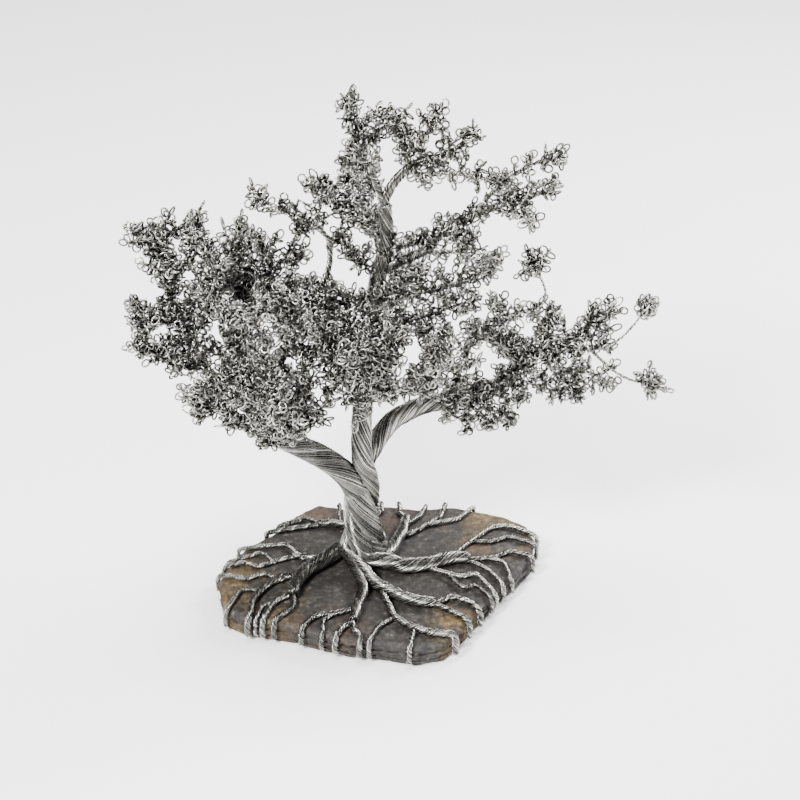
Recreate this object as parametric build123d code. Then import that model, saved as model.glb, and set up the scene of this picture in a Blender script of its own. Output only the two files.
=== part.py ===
"""Wire tree on a slate slab: about 400 silver craft wires twisted into roots, trunk, limbs and leaf loops.

Units are millimetres. +Z is up, +X is to the viewer's right and +Y points away from the viewer.
The origin is on the slab's flat underside, straight below the middle of the trunk.
"""

from build123d import *
import math
import os

# Driving dimensions
WIRE = 0.8  # diameter of one craft wire
PACKING = 0.75  # share of a twisted bundle's section that is metal
SLAB_THICK = 12.0
SLAB_TOP_BEVEL = 2.0
SLAB_FOOT_BEVEL = 0.9
TRUNK_TOP = 76.0  # where the three strands part into limbs
TRUNK_TWIST = -3.6  # degrees of turn per millimetre of height: a left-handed lay
STRAND_OFFSET = 4.6  # from the trunk's axis to the middle of each strand
STRAND_LEVELS = 9  # sections along each strand
ROOTLET_STEP = 2.0  # between the sections of a rootlet
CLEAR = 0.05  # running gap between wire and stone, and between neighbouring pieces
HOOK_LOW = 3.2  # height above the table where a hooked rootlet ends
LOOP = 4.0  # outside diameter of one leaf loop
LOOP_TILT = 45.0  # of the side loop's plane against the stem, in degrees
SPRIG_STEM = 8.0  # length of a leaf sprig's twisted stem
SIDE_LOOP_AT = 4.6  # height of the side loop on that stem
SPRIG_SPACING = 6.0  # along a branch
GOLDEN_ANGLE = 137.5  # between one sprig and the next, in degrees about the branch
SPARE = 0.3  # least room kept round each sprig

# Corners of the slab's outline, anticlockwise from the left end
SLAB_OUTLINE = [
    (-76, -21), (-70, -45), (-59, -52), (-38, -57), (-24, -63), (-8, -69), (11, -72), (27, -76),
    (40, -72), (46, -66), (54, -51), (62, -39), (69, -26), (79, -13), (88, 2), (91, 19), (87, 33),
    (76, 41), (64, 46), (48, 51), (28, 48), (13, 52), (-11, 49), (-27, 53), (-39, 43), (-47, 28),
    (-55, 20), (-64, 12), (-71, -3),
]

# Each strand of the trunk: its wires, and its bearing about the trunk's axis halfway up, in degrees
STRANDS = {
    "trunk_strand_left": (150, 265),
    "trunk_strand_centre": (125, 25),
    "trunk_strand_right": (125, 145),
}
STRAND_MIDDLE = 50.0  # the height at which those bearings hold

# Each limb, branch or twig: wires where it starts, wires at its tip, and its route from parent to tip
LIMBS = {
    "limb_left": (150, 40, [(-5, -2, 71), (-19, -6, 80), (-35, -10, 89), (-50, -14, 98), (-61, -16, 106)]),
    "limb_centre": (125, 40, [
        (1, -4, 72), (-1, -1, 90), (0, 3, 108), (2, 6, 127), (5, 7, 150), (8, 6, 175), (12, 5, 191),
        (12, 4, 207), (10, 4, 216),
    ]),
    "limb_right": (125, 24, [
        (4, 4, 70), (8, 10, 79), (12, 14, 87), (19, 16, 92), (29, 16, 96), (41, 14, 100),
        (51, 12, 106), (61, 10, 110), (70, 8, 113), (77, 6, 121), (82, 4, 131),
    ]),
}
BRANCHES = {
    "branch_left_outer": (48, 8, [
        (-37, -10, 90), (-54, -8, 106), (-67, -4, 118), (-78, 0, 126), (-84, 2, 138), (-89, 4, 151),
        (-93, 4, 165), (-96, 4, 183), (-99, 4, 195),
    ]),
    "branch_left_low": (24, 8, [(-58, -16, 104), (-69, -18, 112), (-77, -20, 119), (-83, -20, 123)]),
    "branch_left_front": (20, 6, [(-33, -10, 88), (-36, -28, 108), (-41, -44, 130), (-50, -53, 146)]),
    "branch_left_back": (20, 6, [(-27, -7, 84), (-38, 14, 93), (-52, 32, 101), (-64, 46, 112)]),
    "branch_left_rise": (24, 6, [
        (-44, -12, 94), (-51, -2, 112), (-56, 4, 130), (-60, 7, 148), (-61, 9, 166), (-58, 10, 183),
    ]),
    "branch_top_left": (14, 4, [
        (10, 4, 214), (7, 3, 225), (3, 2, 233), (-1, 1, 240), (-2, 0, 249), (-1, 0, 256), (-5, 0, 264),
    ]),
    "branch_top_right": (16, 5, [
        (10, 4, 212), (15, 4, 223), (22, 4, 231), (31, 3, 236), (40, 0, 239), (46, 0, 244), (52, 0, 250),
    ]),
    "branch_upper_right": (10, 4, [(21, 4, 230), (28, 0, 230), (42, -6, 233), (54, -10, 233), (65, -12, 230)]),
    "branch_right_high": (32, 8, [
        (9, 6, 176), (19, 2, 184), (30, -3, 192), (38, -4, 201), (47, -4, 208), (55, -4, 212),
        (65, -4, 216), (76, -4, 219), (90, -4, 225),
    ]),
    "branch_right_crest": (8, 4, [(53, -4, 211), (63, 1, 222), (75, 4, 230), (84, 4, 235), (92, 4, 237)]),
    "branch_right_drop": (8, 4, [(30, -3, 192), (38, -12, 196), (46, -18, 198), (53, -22, 197), (61, -24, 194)]),
    "branch_right_middle": (16, 5, [
        (7, 7, 160), (19, 1, 166), (28, -4, 171), (36, -8, 174), (48, -12, 180), (60, -14, 187),
    ]),
    "branch_left_arch": (34, 8, [
        (4, 7, 147), (-2, 4, 161), (-9, 0, 168), (-17, -2, 171), (-26, -4, 169), (-35, -6, 169), (-47, -8, 175),
    ]),
    "branch_inner_curl": (12, 5, [(-21, -3, 171), (-17, -2, 178), (-15, 0, 187), (-16, 2, 196), (-22, 2, 202), (-30, 2, 203)]),
    "branch_left_middle": (14, 5, [(2, 6, 134), (-8, -10, 148), (-20, -24, 158), (-33, -32, 168), (-46, -36, 178)]),
    "branch_front": (16, 5, [(0, 2, 104), (2, -14, 124), (5, -34, 146), (9, -50, 163)]),
    "branch_back": (18, 5, [(2, 6, 128), (8, 28, 136), (16, 48, 144), (20, 62, 153)]),
    "branch_back_left": (16, 5, [(1, 4, 114), (-10, 30, 122), (-23, 48, 130), (-36, 62, 141)]),
    "branch_back_high": (12, 5, [(9, 6, 182), (5, 22, 194), (-1, 38, 206), (-6, 48, 217)]),
    "branch_right_outer": (20, 6, [(80, 5, 126), (93, 4, 134), (105, 2, 136), (117, 0, 139)]),
    "branch_right_low": (10, 5, [(48, 12, 105), (57, -2, 109), (64, -9, 108), (73, -12, 105)]),
    "branch_right_inner": (10, 5, [(75, 6, 119), (74, 1, 133), (67, -4, 143), (57, -8, 149)]),
    "branch_right_front": (16, 5, [(27, 16, 95), (31, -6, 119), (34, -26, 140), (38, -42, 158)]),
    "branch_right_back": (16, 5, [(37, 15, 98), (47, 34, 102), (54, 50, 109), (58, 62, 118)]),
}
TWIGS = {
    "twigs_left": [
        (7, 4, [(-88, 4, 149), (-99, 0, 155), (-108, -4, 152)]),
        (7, 4, [(-78, 0, 126), (-90, -8, 132), (-99, -14, 141), (-107, -18, 149)]),
        (9, 4, [(-84, 2, 138), (-77, -6, 157), (-71, -10, 174), (-67, -12, 190)]),
        (5, 4, [(-96, 4, 183), (-103, 0, 194), (-107, -4, 202)]),
    ],
    "twigs_top": [
        (5, 3, [(-2, 0, 250), (2, 0, 257), (9, 1, 260), (16, 1, 256), (21, 1, 248)]),
        (5, 3, [(21, 4, 230), (21, 5, 240), (17, 5, 249)]),
        (5, 3, [(-16, 1, 193), (-9, 8, 201), (-4, 12, 206), (-8, 14, 213), (-15, 14, 216), (-24, 14, 218)]),
    ],
    "twigs_right": [
        (4, 3, [(115, 0, 138.5), (125, 0, 142), (132, 0, 150), (137, 0, 158)]),
        (4, 3, [(111, 1, 137.5), (123, -2, 127), (133, -4, 122), (142, -4, 121)]),
        (5, 3, [(69, -3, 141), (71, 0, 151), (77, 2, 157), (84, 2, 156), (88, 3, 149), (90, 3, 141)]),
        (3, 3, [(85, 2, 155), (89, 4, 165), (87, 4, 173), (83, 4, 180)]),
        (6, 4, [(103, 2, 135.7), (111, 6, 145), (116, 8, 153)]),
    ],
}

# Each root: wires at the trunk, wires where it has parted, and (x, y, rise above the stone) along it
ROOTS = {
    "root_right": (75, 40, [(1, -5, 14), (9, -9, 5), (19, -12, 0.4), (33, -9, 0), (45, -4, 0), (55, -3, 0)]),
    "root_front_right": (60, 28, [(-3, -5, 13), (-2, -15, 5), (5, -26, 0.4), (14, -35, 0), (26, -41, 0), (36, -42, 0)]),
    "root_front": (46, 26, [(-5, -4, 13), (-6, -14, 5), (-4, -27, 0.6), (-3, -42, 0), (-5, -57, 0)]),
    "root_left": (80, 40, [(-5, 0, 14), (-12, -1, 6), (-21, -7, 0.6), (-30, -15, 0), (-35, -26, 0), (-36, -36, 0)]),
    "root_left_upper": (24, 16, [(-16, -3, 2), (-24, -4, 0.6), (-31, -1, 0), (-38, 0, 0)]),
    "root_back_left": (45, 22, [(-3, 4, 14), (-7, 13, 5), (-11, 25, 0.4), (-19, 31, 0), (-26, 30, 0)]),
    "root_back": (40, 22, [(1, 4, 14), (3, 15, 4), (4, 27, 0.2), (3, 38, 0)]),
    "root_back_right": (60, 28, [(4, 3, 13), (11, 8, 4), (17, 15, 0.4), (21, 26, 0), (22, 36, 0)]),
}

# Each rootlet: its wires and (x, y) on the stone up to the place where it turns over the edge
ROOTLETS = {
    "rootlets_right": [
        (10, [(44, -4), (50, 6), (57, 15), (68, 27), (77, 28), (84, 24)]),
        (8, [(57, 14), (67, 14), (76, 18), (83, 15)]),
        (10, [(54, -3), (67, -1), (76, 4), (83, 2)]),
        (8, [(65, -2), (72, -5), (74, -12)]),
        (8, [(54, -4), (63, -11), (68, -19)]),
        (10, [(31, -10), (42, -15), (50, -18), (57, -16), (62, -24)]),
        (8, [(43, -16), (50, -27), (57, -26), (61, -31)]),
    ],
    "rootlets_front_right": [
        (14, [(35, -42), (44, -37), (52, -40), (56, -44)]),
        (14, [(36, -43), (43, -48), (49, -53)]),
        (20, [(8, -30), (12, -42), (16, -54), (25, -62), (33, -66), (40, -67)]),
        (9, [(15, -53), (8, -60), (5, -67)]),
        (9, [(25, -62), (24, -70)]),
    ],
    "rootlets_front": [
        (13, [(-5, -56), (-10, -61), (-12, -65)]),
        (13, [(-5, -56), (-5, -61), (-3, -66)]),
        (12, [(-4, -45), (-15, -50), (-24, -52), (-29, -59)]),
        (8, [(-16, -51), (-20, -56), (-20, -62)]),
    ],
    "rootlets_left": [
        (18, [(-31, -16), (-43, -20), (-51, -28), (-56, -38), (-57, -48)]),
        (12, [(-36, -35), (-36, -45), (-41, -51), (-44, -55)]),
        (12, [(-36, -33), (-45, -40), (-49, -51)]),
        (8, [(-45, -40), (-51.2, -43), (-52.4, -48)]),
        (9, [(-44, -21), (-53, -16), (-61, -20), (-69, -18)]),
        (9, [(-53, -30), (-63, -30), (-66, -38)]),
        (9, [(-37, 0), (-47, -4), (-56, -9), (-63, -6), (-68, -7)]),
        (7, [(-48, -5), (-55, 3), (-62, 0)]),
        (8, [(-34, -1), (-42, 10), (-51, 10), (-57, 9)]),
    ],
    "rootlets_back": [
        (11, [(-25, 30), (-35, 27), (-43, 25)]),
        (11, [(-25, 30), (-33, 36), (-37, 34)]),
        (9, [(-11, 25), (-15, 37), (-15, 45)]),
        (11, [(3, 37), (8, 42), (8, 46)]),
        (11, [(3, 37), (-3, 42), (-5, 45)]),
        (12, [(22, 35), (18, 41), (18, 45)]),
        (11, [(18, 17), (26, 23), (33, 30), (40, 37), (42, 45)]),
        (8, [(33, 30), (41, 33), (50, 36), (56, 44)]),
        (9, [(22, 30), (29, 38), (31, 44)]),
    ],
}

# Leaf sprigs by the pieces that carry them
LEAVES = {
    "leaves_left_outer": ["branch_left_outer", "branch_left_low", "twigs_left"],
    "leaves_left_inner": ["branch_left_rise", "branch_left_front", "branch_left_back", "limb_left"],
    "leaves_arch": ["branch_left_arch", "branch_inner_curl", "branch_left_middle"],
    "leaves_top": ["branch_top_left", "branch_top_right", "twigs_top", "limb_centre"],
    "leaves_upper_right": ["branch_upper_right", "branch_right_high", "branch_right_crest"],
    "leaves_middle_right": ["branch_right_drop", "branch_right_middle", "branch_right_front", "branch_front"],
    "leaves_back": ["branch_back", "branch_back_left", "branch_back_high", "branch_right_back"],
    "leaves_right_inner": ["branch_right_inner", "branch_right_low", "limb_right"],
    "leaves_right_outer": ["branch_right_outer", "twigs_right"],
}
# Where along its carrier the first sprig grows, as a share of the length, if it isn't the usual
FIRST_SPRIG = 0.3
LATE_FIRST_SPRIG = {"limb_left": 0.75, "limb_centre": 0.4, "limb_right": 0.55}

routes = {}  # node -> list of sampled routes, each a list of (centre, direction, radius)
pieces = {}  # node -> list of solids


def bundle_radius(wires):
    return WIRE / 2 * math.sqrt(wires / PACKING)


def stations(points, start_wires, end_wires, step):
    """Points, directions and radii at even steps along a smooth curve through the route."""
    curve = Spline(*[Vector(*p) for p in points])
    count = max(3, round(curve.length / step) + 1)
    row = []
    for i in range(count):
        t = i / (count - 1)
        wires = start_wires + (end_wires - start_wires) * t
        row.append((curve @ t, (curve % t).normalized(), bundle_radius(wires)))
    return row


def tube(row):
    """A closed round tube through the stations, its sections kept from turning about the route."""
    side = row[0][1].cross(Vector(0, 0, 1))
    if side.length < 0.1:
        side = Vector(1, 0, 0)
    rings = []
    for centre, direction, radius in row:
        side = (side - direction * side.dot(direction)).normalized()
        rings.append(Wire.make_circle(radius, Plane(centre, x_dir=side, z_dir=direction)))
    return Solid.make_loft(rings)


def near(row_a, row_b, gap=0.1):
    """Do two sampled routes come close enough for their tubes to touch?"""
    for centre_a, _, radius_a in row_a:
        for centre_b, _, radius_b in row_b:
            spread = 1.15 * (radius_a + radius_b) + gap
            if (centre_a - centre_b).length < spread:
                return True
    return False


def largest(shape):
    return sorted(shape.solids(), key=lambda s: s.volume)[-1]


def add_tube(node, points, start_wires, end_wires):
    """Makes one bundle, cuts away what its neighbours already fill, and keeps it under its node."""
    step = max(2.0, 1.3 * bundle_radius(start_wires))
    row = stations(points, start_wires, end_wires, step)
    solid = tube(row)
    for other in pieces:
        for other_row, other_solid in zip(routes[other], pieces[other]):
            if near(row, other_row):
                solid = largest(solid - other_solid)
    routes.setdefault(node, []).append(row)
    pieces.setdefault(node, []).append(solid)


def gap_to(place, row):
    """How far a place is from the surface of a bundle."""
    gaps = []
    for (start, _, radius), (end, _, _) in zip(row, row[1:]):
        span = end - start
        share = min(1, max(0, (place - start).dot(span) / span.dot(span)))
        gaps.append((place - start - span * share).length - radius)
    return min(gaps)


def add_rootlet(node, wires, places):
    """Makes one rootlet from where it has come clear of the root or rootlet it leaves."""
    row = stations(rootlet_points(wires, places), wires, wires, ROOTLET_STEP)
    beside = [other for rows in routes.values() for other in rows if near(row, other)]
    while any(gap_to(row[0][0], other) < row[0][2] + CLEAR for other in beside):
        row = row[1:]
    routes.setdefault(node, []).append(row)
    pieces.setdefault(node, []).append(tube(row))


def slab():
    """The slate slab, its corners broken off along the top and, less, along the foot."""
    outline = Polyline(*SLAB_OUTLINE, close=True)
    block = extrude(make_face(outline), SLAB_THICK)
    block = chamfer(block.faces().sort_by(Axis.Z)[-1].edges(), SLAB_TOP_BEVEL)
    block = chamfer(block.faces().sort_by(Axis.Z)[0].edges(), SLAB_FOOT_BEVEL)
    return block.solid()


def strand_points(bearing):
    """A strand's route up the trunk, wound about the trunk's axis."""
    low = SLAB_THICK + 4.0
    points = []
    for i in range(STRAND_LEVELS):
        z = low + (TRUNK_TOP - low) * i / (STRAND_LEVELS - 1)
        angle = math.radians(bearing + TRUNK_TWIST * (z - STRAND_MIDDLE))
        points.append((STRAND_OFFSET * math.cos(angle), STRAND_OFFSET * math.sin(angle), z))
    return points


def edge_crossing(inner, outer):
    """Where the way from a point on the slab through the next one leaves the outline, and the normal there."""
    way = Vector(outer[0] - inner[0], outer[1] - inner[1])
    best = None
    for a, b in zip(SLAB_OUTLINE, SLAB_OUTLINE[1:] + SLAB_OUTLINE[:1]):
        side = Vector(b[0] - a[0], b[1] - a[1])
        gap = Vector(a[0] - inner[0], a[1] - inner[1])
        turn = way.cross(side).Z
        if abs(turn) < 1e-9:
            continue
        along_way = gap.cross(side).Z / turn
        along_side = gap.cross(way).Z / turn
        if along_way > 0 and 0 <= along_side <= 1 and (best is None or along_way < best[0]):
            best = (along_way, Vector(side.Y, -side.X).normalized())
    share, normal = best
    return Vector(*inner) + way * share, normal


def rootlet_points(wires, places):
    """Along the stone, over its edge and down its side."""
    radius = bundle_radius(wires)
    lying = SLAB_THICK + radius + CLEAR
    points = [(x, y, lying) for x, y in places]
    edge, outward = edge_crossing(places[-2], places[-1])
    beside = edge + outward * (radius + CLEAR)
    turn = edge - outward * 0.4
    points.append((turn.X, turn.Y, lying - 0.4))
    points.append((beside.X, beside.Y, SLAB_THICK - SLAB_TOP_BEVEL - 0.5))
    points.append((beside.X, beside.Y, HOOK_LOW))
    return points


def sprig():
    """A short twisted stem with one loop on its end and one at its side."""
    ring_radius = (LOOP - WIRE) / 2
    end_loop = Location((0, 0, SPRIG_STEM + ring_radius)) * Location((0, 0, 0), (90, 0, 0))
    side_loop = Location((ring_radius, 0, SIDE_LOOP_AT)) * Location((0, 0, 0), (LOOP_TILT, 0, 0))
    shape = Solid.make_cylinder(WIRE, SPRIG_STEM)
    for place in (end_loop, side_loop):
        shape = shape + Solid.make_torus(ring_radius, WIRE / 2).moved(place)
    return largest(shape)


def sprig_room(base, direction):
    """Balls that a sprig standing on a place fills: its stem, its side loop and its end loop."""
    return [
        (base + direction * (SIDE_LOOP_AT / 2), WIRE + SPARE),
        (base + direction * SIDE_LOOP_AT, LOOP - WIRE / 2 + SPARE),
        (base + direction * (SPRIG_STEM + LOOP / 2), LOOP / 2 + SPARE),
    ]


def is_free(balls, taken, carrier):
    """Is there room for a sprig among the other sprigs and all the bundles?"""
    for centre, radius in balls:
        for other, other_radius in taken:
            if (centre - other).length < radius + other_radius:
                return False
    for rows in routes.values():
        for row in rows:
            tested = balls[1:] if row is carrier else balls
            for place, _, thick in row:
                for centre, radius in tested:
                    if (centre - place).length < radius + 1.12 * thick:
                        return False
    return True


def sprigs_along(row, first, pattern, taken):
    """Copies of the sprig along a route, turned round it by the golden angle, and one on its tip."""
    made = []
    length = sum((b[0] - a[0]).length for a, b in zip(row, row[1:]))
    places = max(1, int(length * (1 - first) / SPRIG_SPACING))
    for i in range(places + 1):
        share = first + (1 - first) * i / places
        at = share * (len(row) - 1)
        low = min(int(at), len(row) - 2)
        part = at - low
        centre = row[low][0] * (1 - part) + row[low + 1][0] * part
        direction = (row[low][1] * (1 - part) + row[low + 1][1] * part).normalized()
        radius = row[low][2] * (1 - part) + row[low + 1][2] * part
        level = direction.cross(Vector(0, 0, 1)).normalized()
        turned = level.rotate(Axis((0, 0, 0), direction), GOLDEN_ANGLE * i)
        if i == places:
            outward, base = direction, centre + direction * CLEAR
        else:
            outward = turned
            base = centre + turned * (radius + CLEAR)
        balls = sprig_room(base, outward)
        if is_free(balls, taken, row):
            taken.extend(balls)
            made.append(pattern.moved(Plane(base, z_dir=outward).location))
    return made


def build():
    for node, (wires, bearing) in STRANDS.items():
        add_tube(node, strand_points(bearing), wires, wires)
    for group in (LIMBS, BRANCHES):
        for node, (start_wires, end_wires, points) in group.items():
            add_tube(node, points, start_wires, end_wires)
    for node, twigs in TWIGS.items():
        for start_wires, end_wires, points in twigs:
            add_tube(node, points, start_wires, end_wires)
    for node, (start_wires, end_wires, places) in ROOTS.items():
        rise = SLAB_THICK + bundle_radius(start_wires) + CLEAR
        fall = bundle_radius(start_wires) - bundle_radius(end_wires)
        last = len(places) - 1
        points = [(x, y, rise - fall * i / last + z) for i, (x, y, z) in enumerate(places)]
        add_tube(node, points, start_wires, end_wires)
    for node, rootlets in ROOTLETS.items():
        for wires, places in rootlets:
            add_rootlet(node, wires, places)
    stone = slab()
    for node in (*ROOTS, *STRANDS):
        pieces[node] = [largest(solid - stone) for solid in pieces[node]]
    pieces["slate_base"] = [stone]
    pattern = sprig()
    taken = []
    for node, carriers in LEAVES.items():
        pieces[node] = []
        for carrier in carriers:
            for row in routes[carrier]:
                first = LATE_FIRST_SPRIG.get(carrier, FIRST_SPRIG)
                pieces[node].extend(sprigs_along(row, first, pattern, taken))


build()
os.makedirs("parts", exist_ok=True)
for node, solids in pieces.items():
    export_step(Compound(solids), f"parts/{node}.step")
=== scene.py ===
"""The looks of the wire tree: bundles of twisted wires, curled leaf loops and a cleft slate slab.

Routes are listed in millimetres and scaled to metres by MM where meshes are made.
+Z is up, +X is to the viewer's right and +Y points away from the viewer.
"""

import math
import random

import bpy
import numpy as np
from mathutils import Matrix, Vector, noise


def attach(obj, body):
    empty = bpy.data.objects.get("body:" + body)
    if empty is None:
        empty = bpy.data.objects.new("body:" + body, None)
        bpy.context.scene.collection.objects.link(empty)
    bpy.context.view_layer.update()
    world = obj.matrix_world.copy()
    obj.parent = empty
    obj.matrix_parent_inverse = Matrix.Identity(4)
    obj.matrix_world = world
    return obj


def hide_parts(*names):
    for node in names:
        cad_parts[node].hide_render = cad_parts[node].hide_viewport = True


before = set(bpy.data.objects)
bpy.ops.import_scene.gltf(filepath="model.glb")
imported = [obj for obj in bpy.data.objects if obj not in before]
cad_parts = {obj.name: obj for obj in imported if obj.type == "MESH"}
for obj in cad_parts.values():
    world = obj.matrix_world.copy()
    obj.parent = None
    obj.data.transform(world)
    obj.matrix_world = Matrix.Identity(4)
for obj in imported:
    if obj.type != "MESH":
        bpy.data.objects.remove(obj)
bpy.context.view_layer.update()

MM = 0.001
BODY = "root"

# Wire and the way it is laid
WIRE_RADIUS = 0.4
PACKING = 0.75  # share of a twisted bundle's section that is metal
TRUNK_LAY = math.radians(27)  # of the outer wires against their bundle
ROOT_LAY = math.radians(36)
THIN_LAY = math.radians(44)  # of branches, twigs and rootlets
TAPER = 2.0  # how late along its length a bundle gives off its wires
LIMB_TAPER = 3.0
PITCH = 0.85  # between neighbouring wires on the outside of a bundle
FADE = 1.2  # how many wires' room a wire has left when it starts to sink into its bundle
TURN_STEP = 0.55  # radians that a wire may turn about its bundle from one point to the next
STEP_RANGE = (0.5, 1.7)  # between those points
SIDES = 6
CORE_SIDES = 12
CORE_FROM = 10  # wires; a thinner bundle has no core
CORE_DEPTH = 0.3  # of the core's surface below the middles of the outer wires
WAVER = 0.07  # how far hand-laid wires stray from their even places
PLACE_WIDTHS = (0.82, 0.9, 0.9, 1.0, 1.1, 1.75)  # shares of the round that wires take, in turn by chance
DEPTHS = (0, 0, 0.05, 0.12, 0.3)  # how far wires lie below their bundle's surface, by chance

# The trunk: three strands wound about one axis
SLAB_TOP = 12.0
STRAND_OFFSET = 4.6
TRUNK_TWIST = -3.6  # degrees per millimetre of height
STRAND_MIDDLE = 50.0
TRUNK_LEAN = -0.04  # how far it leans towards -X for each millimetre of height

# Each limb: the strand's bearing halfway up the trunk, the height where it leaves the trunk, its wires at the
# start and at the tip, and its route from there
LIMBS = {
    "left": (265, 58, 205, 44, [
        (-9, -6, 68), (-19, -7, 78), (-35, -10, 89), (-50, -14, 98), (-61, -16, 106),
    ]),
    "centre": (25, 76, 135, 44, [
        (-1, -2, 92), (0, 3, 108), (2, 6, 127), (5, 7, 150), (8, 6, 175), (12, 5, 191),
        (12, 4, 205), (11, 4, 213),
    ]),
    "right": (145, 64, 130, 20, [
        (4, 8, 75), (9, 12, 82), (15, 15, 88), (22, 16, 92), (30, 16, 96), (41, 14, 100),
        (51, 12, 106), (61, 10, 110), (70, 8, 113), (77, 6, 121), (82, 4, 131),
    ]),
}

# Each branch or twig: wires where it starts, wires at its tip, and its route from parent to tip
BRANCHES = {
    "branch_left_outer": [(48, 8, [
        (-37, -10, 90), (-54, -8, 106), (-67, -4, 118), (-78, 0, 126), (-84, 2, 138), (-89, 4, 151),
        (-93, 4, 165), (-96, 4, 183), (-99, 4, 195),
    ])],
    "branch_left_low": [(24, 8, [(-58, -16, 104), (-69, -18, 112), (-77, -20, 119), (-83, -20, 123)])],
    "branch_left_front": [(20, 6, [(-33, -10, 88), (-36, -28, 108), (-41, -44, 130), (-50, -53, 146)])],
    "branch_left_back": [(20, 6, [(-27, -7, 84), (-38, 14, 93), (-52, 32, 101), (-64, 46, 112)])],
    "branch_left_rise": [(24, 6, [
        (-44, -12, 94), (-51, -2, 112), (-56, 4, 130), (-60, 7, 148), (-61, 9, 166), (-58, 10, 183),
    ])],
    "branch_top_left": [(20, 4, [
        (10, 4, 214), (7, 3, 225), (3, 2, 233), (-1, 1, 240), (-2, 0, 249), (-1, 0, 256), (-5, 0, 264),
    ])],
    "branch_top_right": [(30, 5, [
        (10, 4, 212), (15, 4, 223), (22, 4, 231), (31, 3, 236), (40, 0, 239), (46, 0, 244), (52, 0, 250),
    ])],
    "branch_right_high": [(32, 8, [
        (9, 6, 176), (19, 2, 184), (30, -3, 192), (38, -4, 201), (47, -4, 208), (55, -4, 212),
        (65, -4, 216), (76, -4, 219), (90, -4, 225),
    ])],
    "branch_upper_right": [(10, 4, [
        (21, 4, 230), (28, 0, 230), (42, -6, 233), (54, -10, 233), (65, -12, 230),
    ])],
    "branch_right_crest": [(8, 4, [(53, -4, 211), (63, 1, 222), (75, 4, 230), (84, 4, 235), (92, 4, 237)])],
    "branch_right_drop": [(8, 4, [
        (30, -3, 192), (38, -12, 196), (46, -18, 198), (53, -22, 197), (61, -24, 194),
    ])],
    "branch_right_middle": [(16, 5, [
        (7, 7, 160), (19, 1, 166), (28, -4, 171), (36, -8, 174), (48, -12, 180), (60, -14, 187),
    ])],
    "branch_left_arch": [(34, 8, [
        (4, 7, 147), (-2, 4, 161), (-9, 0, 168), (-17, -2, 171), (-26, -4, 169), (-35, -6, 169),
        (-47, -8, 175),
    ])],
    "branch_inner_curl": [(12, 5, [
        (-21, -3, 171), (-17, -2, 178), (-15, 0, 187), (-16, 2, 196), (-22, 2, 202), (-30, 2, 203),
    ])],
    "branch_left_middle": [(14, 5, [
        (2, 6, 134), (-8, -10, 148), (-20, -24, 158), (-33, -32, 168), (-46, -36, 178),
    ])],
    "branch_front": [(16, 5, [(0, 2, 104), (2, -14, 124), (5, -34, 146), (9, -50, 163)])],
    "branch_back": [(18, 5, [(2, 6, 128), (8, 28, 136), (16, 48, 144), (20, 62, 153)])],
    "branch_back_left": [(16, 5, [(1, 4, 114), (-10, 30, 122), (-23, 48, 130), (-36, 62, 141)])],
    "branch_back_high": [(12, 5, [(9, 6, 182), (5, 22, 194), (-1, 38, 206), (-6, 48, 217)])],
    "branch_right_outer": [(20, 6, [(80, 5, 126), (93, 4, 134), (105, 2, 136), (117, 0, 139)])],
    "branch_right_low": [(10, 5, [(48, 12, 105), (57, -2, 109), (64, -9, 108), (73, -12, 105)])],
    "branch_right_inner": [(10, 5, [(75, 6, 119), (74, 1, 133), (67, -4, 143), (57, -8, 152)])],
    "branch_right_front": [(16, 5, [(27, 16, 95), (31, -6, 119), (34, -26, 140), (38, -42, 158)])],
    "branch_right_back": [(16, 5, [(37, 15, 98), (47, 34, 102), (54, 50, 109), (58, 62, 118)])],
    "twigs_left": [
        (7, 4, [(-88, 4, 149), (-99, 0, 155), (-108, -4, 152)]),
        (7, 4, [(-78, 0, 126), (-90, -8, 132), (-99, -14, 141), (-107, -18, 149)]),
        (9, 4, [(-84, 2, 138), (-77, -6, 157), (-71, -10, 174), (-67, -12, 190)]),
        (5, 4, [(-96, 4, 183), (-103, 0, 194), (-107, -4, 202)]),
    ],
    "twigs_top": [
        (5, 3, [(-2, 0, 250), (2, 0, 257), (9, 1, 260), (16, 1, 256), (21, 1, 248)]),
        (5, 3, [(21, 4, 230), (21, 5, 240), (17, 5, 249)]),
        (5, 3, [(-16, 1, 193), (-9, 8, 201), (-4, 12, 206), (-8, 14, 213), (-15, 14, 216), (-24, 14, 218)]),
    ],
    "twigs_right": [
        (4, 3, [(115, 0, 138.5), (125, 0, 142), (132, 0, 150), (137, 0, 158)]),
        (4, 3, [(111, 1, 137.5), (123, -2, 127), (133, -4, 122), (142, -4, 121)]),
        (5, 3, [(69, -3, 141), (71, 0, 151), (77, 2, 157), (84, 2, 156), (88, 3, 149), (90, 3, 141)]),
        (3, 3, [(85, 2, 155), (89, 4, 165), (87, 4, 173), (83, 4, 180)]),
        (6, 4, [(103, 2, 135.7), (111, 6, 145), (116, 8, 153)]),
    ],
}

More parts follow.
